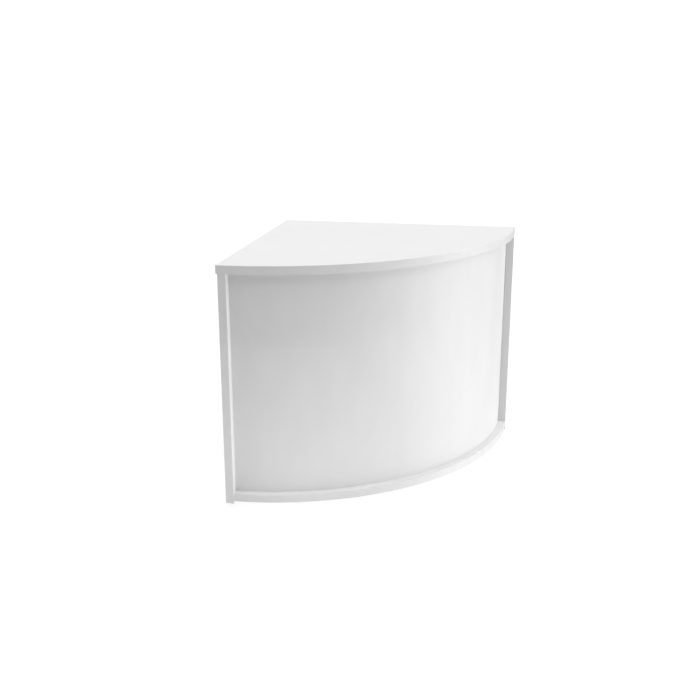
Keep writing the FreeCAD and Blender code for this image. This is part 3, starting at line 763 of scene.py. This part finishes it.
for name, outward in (
    ("worktop_left_edging", (-1, 0, 0)),
    ("worktop_right_edging", (0, 1, 0)),
    ("left_panel_front_edging", (0, -1, 0)),
    ("right_panel_front_edging", (1, 0, 0)),
    ("left_panel_rear_edging", (0, 1, 0)),
):
    strip = mesh_of(name, straight_strip, *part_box(name), Vector(outward))
    piece = new_object(f"{name}_strip", strip)
    settle(shaded(piece, STRIP_SMOOTH), "carcass", name, abs_edging)


# ---------------------------------------------------------------- levelling feet

metric_thread = thread_tree()


def threaded_rod(name, centre, radius, pitch, length, lead, sides, material):
    """A threaded rod with the tree's rings set close enough to draw its flanks."""
    return grown(
        name,
        metric_thread,
        {
            "Radius": radius,
            "Length": length,
            "Pitch": pitch,
            "Depth": pitch * THREAD_DEPTH_SHARE,
            "Lead In": lead,
            "Centre": centre,
            "Sides": sides,
            "Rings": round(length / pitch * RINGS_PER_PITCH),
            "Material": material,
        },
    )


def moved(mesh, offset):
    """A mesh with an offset added to every vertex."""
    for vertex in mesh.vertices:
        vertex.co += Vector(offset)
    return mesh


def joined(name, *parts):
    """One object with the meshes of several, which are used up."""
    whole = bmesh.new()
    for part in parts:
        whole.from_mesh(part.data)
        bpy.data.objects.remove(part)
    mesh = bpy.data.meshes.new(name)
    whole.to_mesh(mesh)
    whole.free()
    return new_object(name, mesh)


for foot in FEET:
    stem_low, stem_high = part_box(f"{foot}_foot_stem")
    axis = (stem_low + stem_high) / 2
    bottom = COLLAR_HIGH - FOOT_PITCH / 2
    thread = threaded_rod(
        "thread",
        (axis.x, axis.y, (bottom + stem_high.z) / 2),
        STEM_RADIUS,
        FOOT_PITCH,
        stem_high.z - bottom,
        1 * MM,
        STEM_SIDES,
        plated_steel,
    )
    shank = new_object("shank", moved(mesh_of("shank", turned_stem), (axis.x, axis.y, 0)))
    stem = shaded(joined(f"{foot}_foot_screw", thread, shank), THREAD_SMOOTH)
    settle(
        stem, f"{foot}_foot_stem", f"{foot}_foot_stem", plated_steel
    )
    pad_mesh = mesh_of("pad", turned, pad_profile(), sides=64, closed=True)
    glide = new_object(f"{foot}_foot_glide", moved(pad_mesh, (axis.x, axis.y, 0)))
    pad = shaded(glide, TURNED_SMOOTH)
    settle(pad, f"{foot}_foot_pad", f"{foot}_foot_pad", black_nylon)


# ---------------------------------------------------------------- caps, inserts and sleeves

fasteners = scatter_tree()


def spread_over(node, name, pattern, points, turn, material):
    """Copies of one finished fastener at each point, as one piece in place of a CAD node."""
    seeds = bpy.data.meshes.new(name)
    seeds.from_pydata([tuple(p) for p in points], [], [])
    values = {"Fastener": pattern, "Turn": turn, "Material": material}
    piece = grown(name, fasteners, values, start=seeds)
    bpy.data.objects.remove(pattern)
    settle(piece, "carcass", node, material)


def middles(node):
    """The middle of each separate solid in a CAD node."""
    return [(low + high) / 2 for low, high in solid_boxes(node)]


cap = shaded(new_object("cap", mesh_of("cap", turned, cap_profile())), TURNED_SMOOTH)
spread_over(
    "base_cam_caps",
    "base_cover_caps",
    cap,
    middles("base_cam_caps"),
    (0, 0, 0),
    white_plastic,
)

insert_mesh = mesh_of("insert", turned, insert_profile(), closed=True)
insert = shaded(new_object("insert", insert_mesh), TURNED_SMOOTH)
spread_over(
    "foot_inserts",
    "foot_flanged_inserts",
    insert,
    middles("foot_inserts"),
    (0, 0, 0),
    plated_steel,
)


def tapped_sleeve():
    """A link sleeve with its thread cut by a threaded rod, mouth at z = 0."""
    sleeve = new_object("sleeve", mesh_of("sleeve", turned, sleeve_profile()))
    length = SLEEVE_LONG + 4 * MM
    tap = threaded_rod(
        "tap",
        (0, 0, -SLEEVE_LONG / 2),
        SLEEVE_BORE,
        SLEEVE_PITCH,
        length,
        0.0,
        TAP_SIDES,
        plated_steel,
    )
    cut = sleeve.modifiers.new("tapped", "BOOLEAN")
    cut.operation = "DIFFERENCE"
    cut.solver = "EXACT"
    cut.object = tap
    mesh = evaluated_mesh(sleeve)
    sleeve.modifiers.remove(cut)
    sleeve.data = mesh
    bpy.data.objects.remove(tap)
    return shaded(sleeve, THREAD_SMOOTH)


for side, axis, outward, turn in (
    ("left", 0, -1, (0, -math.pi / 2, 0)),
    ("right", 1, 1, (-math.pi / 2, 0, 0)),
):
    mouths = []
    for low, high in solid_boxes(f"{side}_link_sleeves"):
        mouth = (low + high) / 2
        mouth[axis] = (low if outward < 0 else high)[axis]
        mouths.append(mouth)
    spread_over(
        f"{side}_link_sleeves",
        f"{side}_tapped_sleeves",
        tapped_sleeve(),
        mouths,
        turn,
        plated_steel,
    )


# ---------------------------------------------------------------- studio

# The floor is white opal acrylic lit from below: even, pale and without a shadow. The whiteness
# is its own light, so its face colour is low.
OPAL_GLOW = 0.86
FLOOR_HALF = 60.0
opal_floor = surface(
    "lit_opal_acrylic", ("#6A6A6A", "#6C6C6C"), 400 * MM, (0.7, 0.8), ((3 * MM, 0.02 * MM),)
)
floor_shader = next(n for n in opal_floor.node_tree.nodes if n.type == "BSDF_PRINCIPLED")
floor_shader.inputs["Emission Color"].default_value = linear("#FFFFFF")
floor_shader.inputs["Emission Strength"].default_value = OPAL_GLOW


def floor_sheet(shape, half):
    """A flat square of floor, a hair under the feet."""
    corners = ((-1, -1), (1, -1), (1, 1), (-1, 1))
    shape.faces.new([shape.verts.new((x * half, y * half, -0.02 * MM)) for x, y in corners])


floor = new_object("studio_floor", mesh_of("studio_floor", floor_sheet, FLOOR_HALF))
floor.data.materials.append(opal_floor)
# what comes up from the floor is set by the glow lamps and the bounce cards alone
floor.visible_diffuse = False
floor.visible_glossy = False
floor.visible_shadow = False


def place_lamp(lamp, place, turn):
    """Put a lamp in the scene."""
    stand = bpy.data.objects.new(lamp.name, lamp)
    stand.location = place
    stand.rotation_euler = turn
    bpy.context.scene.collection.objects.link(stand)


# Brightness of a white sheet that faces a key lamp. Every other lamp is set in half stops
# below it, as on a studio lamp; one stop down is half as bright.
KEY = 0.65


def stopped_down(stops):
    """Brightness this many stops below the key."""
    return KEY / 2**stops


# Distant soft lamps: name, bearing from +X and height over the horizon in degrees, apparent
# width in degrees, and stops below the key.
SKY_LAMPS = (
    ("overhead", 0, 90, 110, 0),
    ("low_right", 10, 10, 60, 0),
    ("low_front_left", -135, 10, 60, 2),
    ("low_left", 180, 15, 60, 1),
    ("rear", 100, 15, 60, 2),
    ("floor_glow", 0, -90, 110, 1),
    ("floor_glow_right", 0, -35, 60, 2),
)
for name, bearing, height, width, stops in SKY_LAMPS:
    lamp = bpy.data.lights.new(name, "SUN")
    lamp.angle = math.radians(width)
    lamp.energy = math.pi * stopped_down(stops)
    turn = Euler((0, math.radians(90 - height), math.radians(bearing)))
    place_lamp(lamp, (0, 0, 3), turn)

# Round bounce cards that lie on the floor face up: name, x, y, radius, stops below the key.
BOUNCE_CARDS = (
    ("bounce_round", 0.1, -0.1, 1.5, 1),
    ("bounce_front", 0.0, -0.9, 0.5, 0.5),
)
for name, x, y, radius, stops in BOUNCE_CARDS:
    lamp = bpy.data.lights.new(name, "AREA")
    lamp.shape = "DISK"
    lamp.size = 2 * radius
    lamp.energy = (math.pi * radius) ** 2 * stopped_down(stops)
    place_lamp(lamp, (x, y, -2 * MM), Euler((math.pi, 0, 0)))

world = bpy.data.worlds.new("white_studio")
world.use_nodes = True
world.node_tree.nodes.clear()
seen = add_node(world.node_tree, "ShaderNodeLightPath").outputs["Is Camera Ray"]
# a white backdrop, seen brighter than it lights the unit
BACKDROP_LIGHT, BACKDROP_SEEN = stopped_down(3), 1.1
level = add_node(
    world.node_tree,
    "ShaderNodeMapRange",
    {"Value": seen, "To Min": BACKDROP_LIGHT, "To Max": BACKDROP_SEEN},
)
backdrop = add_node(
    world.node_tree, "ShaderNodeBackground", {"Color": (1, 1, 1, 1), "Strength": level}
)
add_node(world.node_tree, "ShaderNodeOutputWorld", {"Surface": backdrop})
bpy.context.scene.world = world
bpy.context.scene.view_settings.view_transform = "Standard"

# A standing view of the curved front from a little left of its middle, looking slightly down.
CAMERA_PLACE = (0.4764, -2.9536, 1.2961)
CAMERA_HEADING = math.radians(10.944)
CAMERA_DIP = math.radians(16.711)
lens = bpy.data.cameras.new("camera")
lens.sensor_width = 36.0
lens.lens = 50.3
camera = bpy.data.objects.new("camera", lens)
camera.location = CAMERA_PLACE
camera.rotation_euler = Euler((math.pi / 2 - CAMERA_DIP, 0, CAMERA_HEADING))
bpy.context.scene.collection.objects.link(camera)
bpy.context.scene.camera = camera
